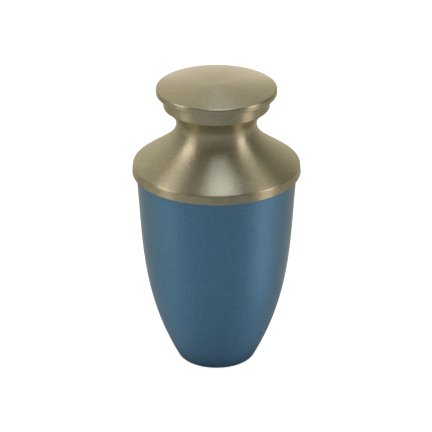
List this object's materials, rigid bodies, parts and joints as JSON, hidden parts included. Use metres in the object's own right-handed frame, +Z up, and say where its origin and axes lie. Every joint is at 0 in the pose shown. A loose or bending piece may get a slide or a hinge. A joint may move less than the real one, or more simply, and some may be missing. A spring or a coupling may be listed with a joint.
{
  "type": "funeral urn",
  "caption": "Small keepsake cremation urn: a tapering blue lacquered vessel with a brushed grey shoulder, flared collar and neck, closed by a domed lift-off lid.",
  "frame": {"origin": "centre of the flat underside, on the surface the urn stands on", "axes": "+Z up along the axis the urn is turned about; X and Y are interchangeable"},
  "size_m": [0.0428, 0.0428, 0.076],
  "materials": {
    "blue_lacquer": "satin",
    "brushed_metal": "satin"
  },
  "bodies": {
    "root": {"vessel": "blue_lacquer", "shoulder": "brushed_metal", "lid": "brushed_metal"}
  },
  "joints": []
}
